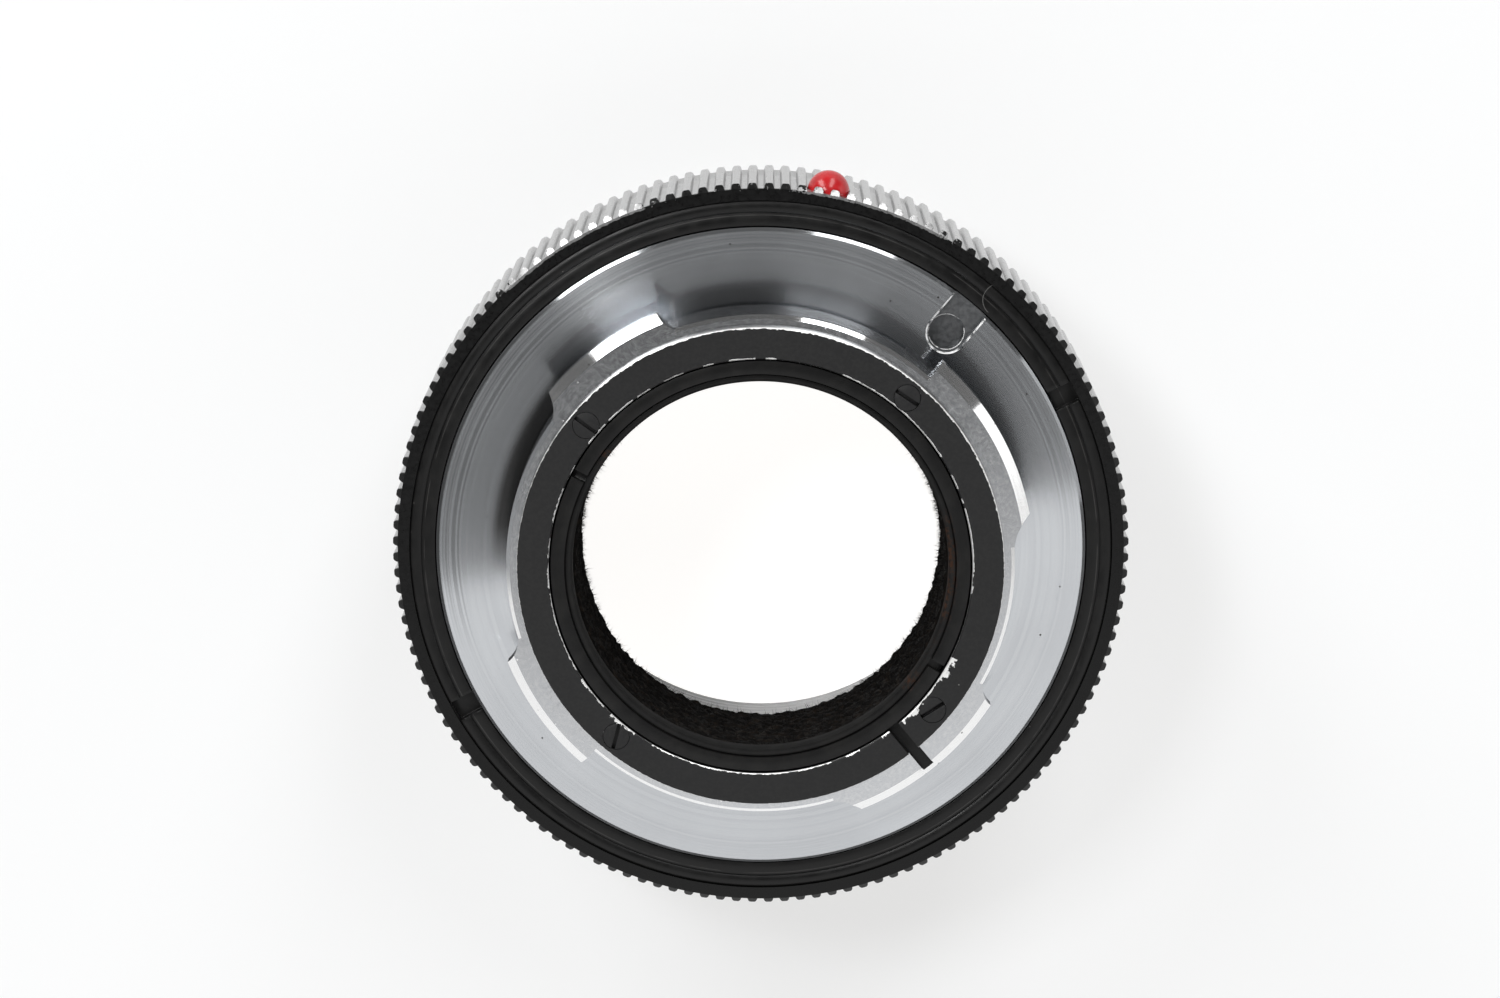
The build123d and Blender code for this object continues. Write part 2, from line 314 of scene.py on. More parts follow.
def satin_alloy():
    """Light alloy with the fine even marks of a lathe tool and a few darker stains; rougher inside the
    cavity, and darker there with painted shade.
    """
    finish = Finish("satin_alloy", Metallic=1.0, Anisotropic=0.4)
    marks = finish.rings(finish.height, 9.0, 3.0)
    stains = finish.noise(0.6, 5.0, 0.6)
    tone = finish.blend(finish.band(stains, 0.3, 0.75), grey(0.6), (0.55, 0.55, 0.545, 1))
    tone = finish.blend(finish.band(marks, 0.35, 0.65, 0.0, 0.3), tone, grey(0.45))
    # Inside the cavity: painted shade, a darker grey, with a rougher finish.
    inside = finish.fade(finish.radius, cavity_radius + 0.02, cavity_radius + 0.3)
    finish.paint(Base_Color=finish.blend(inside, tone, grey(0.36)))
    finish.paint(Roughness=finish.lifted(finish.band(stains, 0.2, 0.8, 0.28, 0.34), inside, 0.2))
    return finish.paint(Normal=finish.bump(marks, 0.004))


body_top_z = top_of("adapter_body")
body_reach = reach_of("adapter_body")
grip_seat_z = foot_of("grip_ring")
barrel_radius = 27.0
collar_radius = 25.4
collar_z = 7.0
shoulder_bevel = 0.3
collar_bevel = 0.5
cone_z = 8.7
tube_bore = 16.5
web_z = 14.0
web_bevel = 0.8
thread_length = mounts["lens_thread"]["dims"]["length_mm"]
thread_mouth = 0.2
thread_depth = 0.62
inch = 25.4
threads_per_inch = 26
thread_pitch = inch / threads_per_inch
thread_root = thread_radius + thread_depth
cavity_radius = 19.67

adapter_body = turned("adapter_body_turned", [
    (thread_root + thread_mouth, 0),
    (collar_radius - collar_bevel, 0),
    (collar_radius, collar_bevel),
    (collar_radius, collar_z),
    (body_reach - shoulder_bevel, cone_z),
    (body_reach, cone_z + shoulder_bevel),
    (body_reach, grip_seat_z),
    (barrel_radius, grip_seat_z),
    (barrel_radius, body_top_z),
    (tube_bore, body_top_z),
    (tube_bore, web_z + web_bevel),
    (tube_bore + web_bevel, web_z),
    (cavity_radius, web_z),
    (cavity_radius, thread_mouth + thread_length),
    (thread_root, thread_mouth + thread_length),
    (thread_root, thread_mouth),
])
soften(adapter_body)
dress(adapter_body, satin_alloy())
placed(adapter_body, "adapter_body")

# Lens thread: six turns of fine thread inside the foot of the body, for the lens's screw.
# It is the body's own metal; the ridge is a trapezoid run up a helix, pitch 26 to the inch.
thread_turns = 6
thread_steps = 120
ridge_foot = 0.8 * thread_pitch
ridge_crest = 0.2 * thread_pitch
root_overlap = 0.05
thread_low = -0.4 * thread_pitch
ridge = [
    (thread_root + root_overlap, thread_low - ridge_foot / 2),
    (thread_radius, thread_low - ridge_crest / 2),
    (thread_radius, thread_low + ridge_crest / 2),
    (thread_root + root_overlap, thread_low + ridge_foot / 2),
]


def cut_off(place, outward):
    """Cuts away all that lies behind a plane and closes the cut; place in metres."""
    pick_all()
    bpy.ops.mesh.bisect(
        plane_co=place, plane_no=outward, clear_inner=True, use_fill=True, threshold=WELD,
    )


lens_thread = drawn("lens_thread", [(radius, 0, height) for radius, height in ridge])
object_mode()
helix = lens_thread.modifiers.new("helix", "SCREW")
helix.axis = "Z"
helix.angle = 2 * pi
helix.steps = thread_steps
helix.render_steps = thread_steps
helix.iterations = thread_turns - 1
helix.screw_offset = thread_pitch * MM
helix.use_merge_vertices = True
helix.merge_threshold = WELD
bpy.ops.object.modifier_apply(modifier=helix.name)
edit_mode()
bpy.ops.mesh.select_all(action="DESELECT")
bpy.ops.mesh.select_non_manifold()
bpy.ops.mesh.fill()
cut_off((0, 0, FINE_EDGE * MM), (0, 0, 1))
welded()
bpy.ops.object.shade_smooth_by_angle(angle=CREASE)
dress(lens_thread, adapter_body.data.materials[0])
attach(lens_thread, "root")

# Bayonet mount: flange, neck, four lugs and the end rim, turned and milled from one piece of brass.
# Chromed and finish turned, so the flange carries fine rings; the rim's end is painted black.
# Four screws through the rim hold it down on the body.
rim_z = top_of("bayonet_mount")
flange_radius = reach_of("bayonet_mount")
lug_face_rise = 6.2
lug_face_z = flange_z + lug_face_rise
lug_thickness = 2.1
lug_bevel = 0.8
lug_root = 0.5
lug_radius = 21.95
neck_radius = 20.4
neck_bevel = 0.3
relief_depth = 0.3
relief_height = 0.8
relief_width = 0.15
relief_drop = 0.12
rim_radius = 19.5
rim_bore = 16.96
rim_bevel = 0.08
ledge_z = 27.6
flange_bevel = 0.25
bayonet_edge = 0.06
ramp_hollow = 0.3
ramp_points = 8
arc_points = 26
# Each lug: where it starts and ends, and the run of the ramp at each end, in degrees
lugs = [(11.0, 48.7, 6.5, 0.0), (112.0, 140.3, 2.4, 4.0), (201.6, 228.6, 4.5, 0.0), (292.0, 328.0, 5.0, 3.5)]
groove_angle = 309.4
groove_width = 1.0
groove_depth = 0.35
slot_angle = 50.1
slot_width = 3.15
slot_depth = 0.7
slot_radius = 23.4
slot_hole_radius = 1.42
slot_hole_depth = 0.9
rubbed_width = 0.14
rubbed_depth = 0.08
screw_angles = [50.0, 140.0, 230.0, 320.0]
screw_circle = 18.1
screw_head_radius = 1.05
screw_head_gap = 0.04
screw_head_height = 1.2
cut_past = 1.0
drill_sides = 64


def arc_through(foot, middle, tip, count):
    """Points from foot to tip on the circle through three points."""
    corners = (foot, middle, tip)
    rises = (middle.y - tip.y, tip.y - foot.y, foot.y - middle.y)
    runs = (tip.x - middle.x, foot.x - tip.x, middle.x - foot.x)
    squares = [corner.x * corner.x + corner.y * corner.y for corner in corners]
    scale = 2 * sum(corner.x * rise for corner, rise in zip(corners, rises))
    centre_x = sum(square * rise for square, rise in zip(squares, rises)) / scale
    centre_y = sum(square * run for square, run in zip(squares, runs)) / scale
    start = atan2(foot.y - centre_y, foot.x - centre_x)
    sweep = atan2(tip.y - centre_y, tip.x - centre_x) - start
    sweep = (sweep + pi) % (2 * pi) - pi
    size = hypot(foot.x - centre_x, foot.y - centre_y)
    turns = [start + sweep * step / count for step in range(count + 1)]
    return [Vector((centre_x + size * cos(turn), centre_y + size * sin(turn), 0)) for turn in turns]


def ramp(foot, tip):
    """The milled end of a lug: a hollow arc from the neck out to the lug's corner."""
    middle = (foot + tip) / 2 * (1 - ramp_hollow) + foot * ramp_hollow
    inward = neck_radius / middle.length
    return arc_through(foot, middle * (1 + inward) / 2, tip, ramp_points)


def lug_plan(start, end, start_ramp, end_ramp):
    """Outline of one lug seen along the axis, rooted inside the neck."""
    plan = [polar(lug_radius, start + (end - start) * step / arc_points) for step in range(arc_points + 1)]
    end_foot = polar(neck_radius, end + end_ramp)
    plan += ramp(end_foot, plan[-1])[-2::-1] if end_ramp else [end_foot]
    sweep = end + end_ramp - start + start_ramp
    plan += [polar(rim_radius, end + end_ramp - sweep * step / arc_points) for step in range(arc_points + 1)]
    start_foot = polar(neck_radius, start - start_ramp)
    plan += ramp(start_foot, plan[0])[:-1] if start_ramp else [start_foot]
    return plan


def block(inner, outer, width, low, high, angle):
    """A cutter that lies along a radius."""
    middle = polar((inner + outer) / 2, angle, (low + high) / 2) * MM
    size = Vector((outer - inner, width, high - low)) * MM
    bpy.ops.mesh.primitive_cube_add(size=1, location=middle, rotation=(0, 0, radians(angle)), scale=size)
    return bpy.context.object


def drill(radius, low, high, at_radius, angle):
    """A cutter that stands along the axis."""
    middle = polar(at_radius, angle, (low + high) / 2) * MM
    bpy.ops.mesh.primitive_cylinder_add(
        vertices=drill_sides, radius=radius * MM, depth=(high - low) * MM, location=middle,
    )
    return bpy.context.object


bayonet = turned("bayonet_mount_turned", [
    (tube_bore, body_top_z),
    (flange_radius, body_top_z),
    (flange_radius, flange_z - flange_bevel),
    (flange_radius - flange_bevel, flange_z),
    (neck_radius + relief_width, flange_z),
    (neck_radius + relief_width, flange_z - relief_drop),
    (neck_radius - relief_depth, flange_z - relief_drop),
    (neck_radius - relief_depth, flange_z + relief_height),
    (neck_radius, flange_z + relief_height),
    (neck_radius, lug_face_z - neck_bevel),
    (neck_radius - neck_bevel, lug_face_z),
    (rim_radius, lug_face_z),
    (rim_radius, rim_z - rim_bevel),
    (rim_radius - rim_bevel, rim_z),
    (rim_bore + rim_bevel, rim_z),
    (rim_bore, rim_z - rim_bevel),
    (rim_bore, ledge_z),
    (tube_bore, ledge_z),
])
lug_low_z = lug_face_z - lug_thickness
lug_core = rim_radius - lug_root
for lug in lugs:
    blank = drawn("lug", [point + Vector((0, 0, lug_low_z)) for point in lug_plan(*lug)])
    bpy.ops.mesh.edge_face_add()
    pull((0, 0, lug_thickness * MM))
    welded()
    envelope = turned("lug_envelope", [
        (lug_core, lug_low_z),
        (lug_radius, lug_low_z),
        (lug_radius, lug_face_z - lug_bevel),
        (lug_radius - lug_bevel, lug_face_z),
        (lug_core, lug_face_z),
    ])
    combine(blank, envelope, "INTERSECT")
    combine(bayonet, blank, "UNION")
groove_z = lug_face_z - groove_depth
past_rim = rim_z + cut_past
combine(bayonet, block(rim_bore - cut_past, flange_radius, groove_width, groove_z, past_rim, groove_angle))
slot_z = flange_z - slot_depth
slot_top = flange_z + cut_past
slot_out = 2 * flange_radius - slot_radius
combine(bayonet, block(slot_radius, slot_out, slot_width, slot_z, slot_top, slot_angle))
combine(bayonet, drill(slot_width / 2, slot_z, slot_top, slot_radius, slot_angle))
rubbed_z = flange_z - rubbed_depth
combine(bayonet, block(slot_radius, slot_out, slot_width + 2 * rubbed_width, rubbed_z, slot_top, slot_angle))
combine(bayonet, drill(slot_width / 2 + rubbed_width, rubbed_z, slot_top, slot_radius, slot_angle))
combine(bayonet, drill(slot_hole_radius, slot_z - slot_hole_depth, slot_top, slot_radius, slot_angle))
hole_rim_z = slot_z - rubbed_depth
combine(bayonet, drill(slot_hole_radius + rubbed_width / 2, hole_rim_z, slot_top, slot_radius, slot_angle))
for angle in screw_angles:
    head_hole = screw_head_radius + screw_head_gap
    combine(bayonet, drill(head_hole, rim_z - screw_head_height, past_rim, screw_circle, angle))
soften(bayonet, bayonet_edge)


def turned_chrome():
    """Hard chrome over fine turning, which draws lights out along the radius; painted highlights on the
    bevels, painted dark streaks on the outer flange, painted shade round the foot of the neck, pits and dust.
    """
    finish = Finish("turned_chrome", Metallic=1.0, Anisotropic=1.0, Anisotropic_Rotation=0.25)
    fine = finish.rings(finish.radius, 20.0, 3.0)
    broad = finish.rings(finish.radius, 1.6, 3.0)
    film = finish.noise(0.14, 3.0)
    tone = finish.blend(finish.band(broad, 0.3, 0.7), (0.525, 0.54, 0.56, 1), (0.55, 0.565, 0.585, 1))
    # cut is a painted highlight: near white on the lug bevels, and on the neck's bevel too except from about
    # 138 to 180 degrees.
    bevel_z = lug_face_z - lug_bevel
    cut = finish.times(
        finish.band(finish.height, bevel_z - 0.06, bevel_z),
        finish.fade(finish.height, lug_face_z - 0.03, lug_face_z),
    )
    neck_bevel_lit_turns = finish.along_turn([(0, 1), (128, 1), (138, 0), (180, 0), (188, 1)])
    on_lugs = finish.band(finish.radius, neck_radius, neck_radius + 0.1)
    cut = finish.times(cut, finish.math("MAXIMUM", neck_bevel_lit_turns, on_lugs))
    bare = finish.band(finish.height, lug_face_z + 0.01, lug_face_z + 0.05)
    wander = finish.lifted(finish.radius, finish.noise(0.1, 2.0), 0.12)
    arcs = finish.rings(wander, 3.2, 5.0)
    # Painted dark streaks: dark turning arcs in the outer flange's colour that stand in for reflected rings,
    # strongest from 140 to 185 degrees and faint from 200 degrees round to 0.
    streak_turns = finish.along_turn([
        (0, 0.15), (25, 0.6), (125, 0.6), (140, 1), (185, 1), (200, 0.15), (330, 0.1),
    ])
    outer = finish.times(finish.band(finish.radius, flange_radius - 2.6, flange_radius - 1.6), streak_turns)
    pits = finish.specks(0.55, 0.03, 0.06, finish.band(finish.noise(0.3), 0.46, 0.52))
    dust = finish.specks(0.8, 0.02, 0.05, finish.fade(finish.noise(0.26), 0.42, 0.46))
    # shade: the painted dark streaks.
    shade = finish.times(outer, finish.band(arcs, 0.4, 0.62, 0.0, 0.65))
    tone = finish.blend(shade, tone, (0.25, 0.26, 0.265, 1))
    # Painted shade on the flange round the foot of the neck, darkest from 138 to 174 degrees, standing in for
    # the neck's dark reflection.
    neck_shade = finish.along_turn([
        (0, 0), (30, 0.2), (60, 0.1), (84, 0.1), (92, 0.5), (102, 0.5), (110, 0), (126, 0), (138, 1),
        (174, 1), (186, 0),
    ])
    neck_shade = finish.times(neck_shade, finish.fade(finish.radius, neck_radius + 1.0, neck_radius + 1.9))
    neck_shade = finish.times(neck_shade, finish.fade(finish.height, flange_z + 0.05, flange_z + 0.1))
    tone = finish.blend(neck_shade, tone, grey(0.16))
    # Painted highlight on the bevels.
    tone = finish.blend(cut, tone, grey(0.92))
    tone = finish.blend(bare, tone, grey(0.6))
    tone = finish.blend(dust, tone, (0.3, 0.3, 0.29, 1))
    finish.paint(Base_Color=finish.blend(pits, tone, (0.05, 0.045, 0.04, 1)))
    haze = finish.band(finish.radius, flange_radius - 2.8, flange_radius - 1.6, 1.0, 0.92)
    finish.paint(Metallic=finish.lifted(haze, dust, -0.7))
    rough = finish.lifted(finish.band(film, 0.3, 0.7, 0.145, 0.165), bare, 0.3)
    finish.paint(Roughness=finish.lifted(rough, cut, -0.06))
    finish.paint(Tangent=finish.node("Tangent", "Tangent", {"direction_type": "RADIAL", "axis": "Z"}))
    return finish.paint(Normal=finish.bump(fine, 0.0004, finish.bump(arcs, 0.0025)))


def brushed_chrome():
    """The lugs' end faces: chrome brushed dull, with bright dings where the camera's springs rub."""
    finish = Finish("brushed_chrome", Metallic=1.0)
    grain = finish.noise(3.5, 4.0, 0.7)
    brushed = finish.rings(finish.radius, 14.0, 3.0)
    tone = finish.blend(finish.band(grain, 0.4, 0.7, 0.0, 0.6), (0.5, 0.51, 0.525, 1), (0.64, 0.645, 0.65, 1))
    dings = finish.specks(1.1, 0.05, 0.1, finish.band(finish.noise(0.5), 0.5, 0.56))
    finish.paint(Base_Color=finish.blend(dings, tone, grey(0.95)))
    finish.paint(Roughness=finish.lifted(finish.band(grain, 0.3, 0.7, 0.2, 0.25), dings, 0.25))
    return finish.paint(Normal=finish.bump(brushed, 0.0015))


def milled_chrome():
    """Chromed floor of the milled lock slot: fine grain without the rings of the lathe."""
    finish = Finish("milled_chrome", Metallic=1.0)
    grain = finish.noise(2.4, 5.0, 0.6)
    tone = finish.blend(finish.band(grain, 0.3, 0.7), (0.15, 0.155, 0.16, 1), (0.2, 0.205, 0.21, 1))
    finish.paint(Base_Color=tone)
    finish.paint(Roughness=finish.band(grain, 0.3, 0.7, 0.3, 0.42))
    return finish.paint(Normal=finish.bump(grain, 0.006))


def nicked_edge():
    """The slot's edge and its shallow ledges: dark metal with a painted highlight, a broken line of
    near-white, non-metallic dashes that stand in for glints.
    """
    finish = Finish("nicked_edge", Roughness=0.6)
    glints = finish.band(finish.noise(1.1, 4.0, 0.7), 0.4, 0.52)
    finish.paint(Base_Color=finish.blend(glints, (0.12, 0.125, 0.13, 1), grey(0.75)))
    return finish.paint(Metallic=finish.opposite(glints))


def chipped_black():
    """Black enamel on the rim, chipped through to bare bright metal along its edges, with painted shade
    making it darker in the groove and the bore.
    """
    finish = Finish("chipped_black", Specular_IOR_Level=0.3)
    upper = finish.along_turn([
        (0, 0.1), (16.6, 0), (17.4, 0.08), (18.6, 0), (22.3, 0.09), (25.7, 0), (31.3, 0.1), (43.6, 0),
        (44, 0.1), (67.5, 0), (69.5, 0.08), (70.3, 0), (76, 0.08), (77, 0), (84.7, 0.1), (88.2, 0),
        (91.4, 0.1), (97.7, 0), (102.2, 0.09), (104.3, 0), (110.5, 0.07), (116.7, 0), (120.9, 0.07),
        (125, 0), (125.3, 0.1), (134.3, 0), (135.4, 0.1), (142.5, 0),
    ], stepped=True)
    lower = finish.along_turn([
        (0, 0), (149.8, 0.06), (152, 0), (157, 0.09), (166.7, 0), (171.3, 0.08), (175.8, 0), (177.7, 0.1),
        (185, 0), (186, 0.07), (209, 0), (211.5, 0.17), (213.8, 0.08), (222, 0), (225, 0.3), (228.5, 0.16),
        (233.4, 0), (239, 0.08), (289, 0), (292.8, 0.12), (297, 0), (304, 0.2), (308.2, 0), (312, 0.3),
        (314, 0.46), (317.5, 0.22), (319.5, 0.1), (327, 0.34), (329, 0.5), (333.3, 0), (352.6, 0.13),
    ], stepped=True)
    ragged = finish.noise(2.4, 4.0, 0.65)
    upper = finish.times(upper, finish.band(ragged, 0.3, 0.7, 0.9, 1.5))
    depth = finish.lifted(upper, lower, finish.band(ragged, 0.36, 0.66, 0.2, 1.3))
    inner = finish.math("SUBTRACT", finish.radius, rim_bore)
    inner_chip = finish.math("LESS_THAN", inner, depth)
    outer = finish.math("SUBTRACT", rim_radius, finish.radius)
    outer_depth = finish.along_turn([
        (0, 0.06), (25, 0.14), (60, 0.14), (140, 0.12), (160, 0.04), (350, 0.03),
    ])
    outer_depth = finish.times(outer_depth, finish.band(finish.noise(1.7, 5.0, 0.7), 0.4, 0.75, 0.3, 1.5))
    outer_chip = finish.times(
        finish.math("LESS_THAN", outer, outer_depth),
        finish.math("GREATER_THAN", outer, -0.01),
    )
    face_z = rim_z - 2 * rim_bevel
    face = finish.math("GREATER_THAN", finish.height, face_z)
    chip = finish.times(face, finish.math("MAXIMUM", inner_chip, outer_chip))
    specks = finish.specks(0.8, 0.03, 0.05, finish.band(finish.noise(0.5), 0.56, 0.6))
    grain = finish.noise(4.0, 4.0)
    black = finish.blend(finish.band(grain, 0.35, 0.7), (0.009, 0.009, 0.0094, 1), grey(0.013))
    # Painted shade: below the rim's face, in the index groove and down the bore, the black is darker.
    black = finish.blend(finish.band(finish.height, groove_z, face_z), grey(0.003), black)
    black = finish.blend(specks, black, (0.2, 0.2, 0.19, 1))
    finish.paint(Base_Color=finish.blend(chip, black, (0.88, 0.88, 0.87, 1)))
    finish.paint(Metallic=chip)
    finish.paint(Roughness=finish.band(grain, 0.3, 0.7, 0.48, 0.58))
    return finish.paint(Normal=finish.bump(finish.noise(9.0, 2.0), 0.005))


dress(bayonet, turned_chrome(), chipped_black(), milled_chrome(), nicked_edge(), brushed_chrome())
chromed, enamelled, milled, glinting, brushed = range(5)
along_groove = polar(1, groove_angle)
along_slot = polar(1, slot_angle)
across_slot = polar(1, slot_angle + 90)
seam = 0.02
bore_margin = 0.1
face_margin = 0.005
flange_margin = 0.002
rubbed_margin = 0.03
for face in bayonet.data.polygons:
    place = face.center / MM
    radius = hypot(place.x, place.y)
    out = place.dot(along_groove)
    aside = (place - along_groove * out).to_2d().length
    on_rim = radius < rim_radius - seam and place.z > groove_z
    in_bore = radius < rim_bore + bore_margin
    in_groove = out > 0 and aside < groove_width / 2 + seam and groove_z - seam < place.z < lug_face_z - seam
    face.material_index = enamelled if on_rim or in_bore or in_groove else chromed
    if abs(place.z - lug_face_z) < face_margin and face.material_index == chromed:
        face.material_index = brushed
    if abs(place.dot(across_slot)) < slot_width and place.dot(along_slot) > slot_radius - slot_width:
        from_hole = (place - polar(slot_radius, slot_angle, place.z)).length
        on_hole_rim = abs(place.z - hole_rim_z) < seam and from_hole < slot_hole_radius + rubbed_width
        on_ledge = rubbed_z - rubbed_margin < place.z < flange_z - flange_margin
        # The ledge round the slot and the rim of its hole carry the painted glint.
        if on_hole_rim or on_ledge and radius < flange_radius - flange_bevel:
            face.material_index = glinting
        elif place.z < rubbed_z:
            face.material_index = milled
placed(bayonet, "bayonet_mount")

# Bayonet screws: four slotted screws sunk flush in the rim, painted over with it.
# Turned steel; each slot stands where its screw came tight.
screw_slot_turns = [96.0, 4.0, 25.0, 73.0]
screw_slot_width = 0.3
screw_slot_depth = 0.45
screw_slot_length = 2.2 * screw_head_radius
screw_edge = 0.05
screw_shank_radius = 0.8
screw_foot_z = foot_of("bayonet_screws")
screw_top_z = top_of("bayonet_screws")


def rim_screw(angle, slot_turn):
    """One screw: head, shank and a sawn slot."""
    bpy.ops.object.select_all(action="DESELECT")
    seat = screw_top_z - screw_head_height
    piece = drill(screw_head_radius, seat, screw_top_z, screw_circle, angle)
    bpy.ops.object.transform_apply(location=True)
    shank = drill(screw_shank_radius, screw_foot_z, seat + screw_head_gap, screw_circle, angle)
    combine(piece, shank, "UNION")
    place = polar(screw_circle, angle, screw_top_z) * MM
    size = Vector((screw_slot_length, screw_slot_width, 2 * screw_slot_depth)) * MM
    turn = (0, 0, radians(angle + slot_turn))
    bpy.ops.mesh.primitive_cube_add(size=1, location=place, rotation=turn, scale=size)
    combine(piece, bpy.context.object)
    soften(piece, screw_edge)
    return piece


screws = [rim_screw(angle, turn) for angle, turn in zip(screw_angles, screw_slot_turns)]
only(screws[0])
for screw in screws:
    screw.select_set(True)
bpy.ops.object.join()
bayonet_screws = bpy.context.object
bayonet_screws.name = "bayonet_screws_slotted"
dress(bayonet_screws, bayonet.data.materials[enamelled])
placed(bayonet_screws, "bayonet_screws")

# Baffle tube: a thin blackened tube hung in the bore by its collar; only its far end shows from below.
# Drawn alloy, anodised black, clamped down by the spanner ring above it.
tube_foot_z = foot_of("baffle_tube")
tube_top_z = top_of("baffle_tube")
tube_collar = reach_of("baffle_tube")
tube_outer = 16.4
tube_inner = 15.92
baffle_tube = turned("baffle_tube_turned", [
    (tube_inner, tube_foot_z),
    (tube_outer, tube_foot_z),
    (tube_outer, ledge_z),
    (tube_collar, ledge_z),
    (tube_collar, tube_top_z),
    (tube_inner, tube_top_z),
])
soften(baffle_tube)

# The ring round the flange has this finish too, with a thin lighter line along the edge of its inner band and
# one scratch
retainer_band = 27.5
scratch_angle = 46.9
scratch_reach = 28.2
scratch_middle = polar(scratch_reach, scratch_angle)
scratch_radius = 1.35
scratch_end = 0.3


def black_anodised():
    """Black anodised alloy: semi-gloss, faint tool rings, pale dust, a thin lighter line at one edge and a
    scratch.
    """
    finish = Finish("black_anodised", Specular_IOR_Level=0.26)
    marks = finish.rings(finish.radius, 11.0, 3.0)
    dust = finish.specks(0.7, 0.03, 0.06, finish.band(finish.noise(0.4), 0.52, 0.58))
    worn = finish.noise(0.6, 5.0, 0.6)
    black = finish.blend(finish.band(worn, 0.35, 0.75), grey(0.004), (0.0065, 0.0063, 0.006, 1))
    line = finish.line_at(finish.radius, retainer_band, 0.015, 0.05)
    line = finish.times(line, finish.band(finish.noise(0.5, 4.0), 0.35, 0.6))
    black = finish.blend(line, black, (0.035, 0.034, 0.033, 1))
    from_scratch = finish.vector("DISTANCE", finish.flat, scratch_middle, output="Value")
    scratch = finish.line_at(from_scratch, scratch_radius, 0.015, 0.045)
    one_side = finish.band(finish.angle, scratch_angle - scratch_end, scratch_angle + scratch_end)
    scratch = finish.times(scratch, one_side)
    black = finish.blend(scratch, black, (0.09, 0.09, 0.087, 1))
    finish.paint(Base_Color=finish.blend(dust, black, (0.2, 0.19, 0.18, 1)))
    finish.paint(Roughness=finish.band(worn, 0.3, 0.7, 0.3, 0.42))
    return finish.paint(Normal=finish.bump(marks, 0.002))


anodised = black_anodised()
dress(baffle_tube, anodised)
placed(baffle_tube, "baffle_tube")

# Flock lining: black velvet glued round the inside of the tube to kill stray light.
# Short nylon fibres stand in from the backing, brushed about and faded brown in places.
flock_radius = 15.5
flock_outer = 15.9
flock_foot_z = foot_of("flock_lining")
flock_top_z = top_of("flock_lining")
pile_rows = 36
pile_side = 0.5
pile_tuft = 0.2
tuft_range = (-0.3, 1.0)
pile_top_margin = 0.4
skin = 0.01
pile_steps = [flock_top_z + (flock_foot_z - flock_top_z) * row / pile_rows for row in range(pile_rows + 1)]
flock_lining = turned("flock_lining_velvet", [(flock_outer, flock_foot_z), (flock_outer, flock_top_z)]
                      + [(flock_radius, height) for height in pile_steps])
chance = random.Random(7)


def pile_height(angle):
    """How far the pile stands in at an angle: long at the sides, worn short elsewhere."""
    return pile_side * cos(radians(angle)) ** 2


for vertex in flock_lining.data.vertices:
    reach = hypot(vertex.co.x, vertex.co.y) / MM
    if reach < flock_radius + skin and vertex.co.z / MM < flock_top_z - pile_top_margin:
        angle = degrees(atan2(vertex.co.y, vertex.co.x))
        inward = pile_height(angle) + chance.uniform(*tuft_range) * pile_tuft
        vertex.co.x *= 1 - inward / reach
        vertex.co.y *= 1 - inward / reach
fibre_count = 18000
fibre_long = 0.85
fibre_short = 0.15
fibre_thickness = 0.03
fibre_lean = 0.6
fibre_top_margin = 0.6
points, triangles = [], []
for fibre in range(fibre_count):
    turn = chance.uniform(0, 360)
    rise = chance.uniform(flock_foot_z, flock_top_z - fibre_top_margin)
    length = fibre_short + (fibre_long - fibre_short) * chance.random() ** 3
    root = polar(flock_radius - pile_height(turn), turn, rise)
    inward = polar(-1, turn)
    aside = polar(1, turn + 90)
    lean = Vector((0, 0, chance.gauss(0, fibre_lean))) + aside * chance.gauss(0, fibre_lean)
    tip = root + (inward + lean).normalized() * length
    first = len(points)
    for corner in range(3):
        corner_turn = corner * 2 * pi / 3
        spread = aside * cos(corner_turn) + Vector((0, 0, sin(corner_turn)))
        points.append((root + spread * fibre_thickness) * MM)
    points.append(tip * MM)
    triangles += [(first + corner, first + (corner + 1) % 3, first + 3) for corner in range(3)]
fibre_mesh = bpy.data.meshes.new("flock_fibres")
fibre_mesh.from_pydata(points, [], triangles)
fibres = bpy.data.objects.new("flock_fibres", fibre_mesh)
bpy.context.scene.collection.objects.link(fibres)
only(flock_lining)
fibres.select_set(True)
bpy.ops.object.join()


def black_flock():
    """Velvet: nearly black, brown where it has faded, with the sheen of standing fibres."""
    finish = Finish(
        "black_flock", Roughness=0.95, Specular_IOR_Level=0.04, Sheen_Weight=0.03, Sheen_Roughness=0.5,
    )
    faded = finish.noise(1.4, 4.0, 0.65)
    tone = finish.blend(finish.band(faded, 0.45, 0.75), (0.004, 0.0037, 0.0035, 1), (0.016, 0.012, 0.009, 1))
    finish.paint(Base_Color=tone)
    return finish.paint(Normal=finish.bump(finish.noise(12.0, 3.0), 0.05))


dress(flock_lining, black_flock())
placed(flock_lining, "flock_lining")

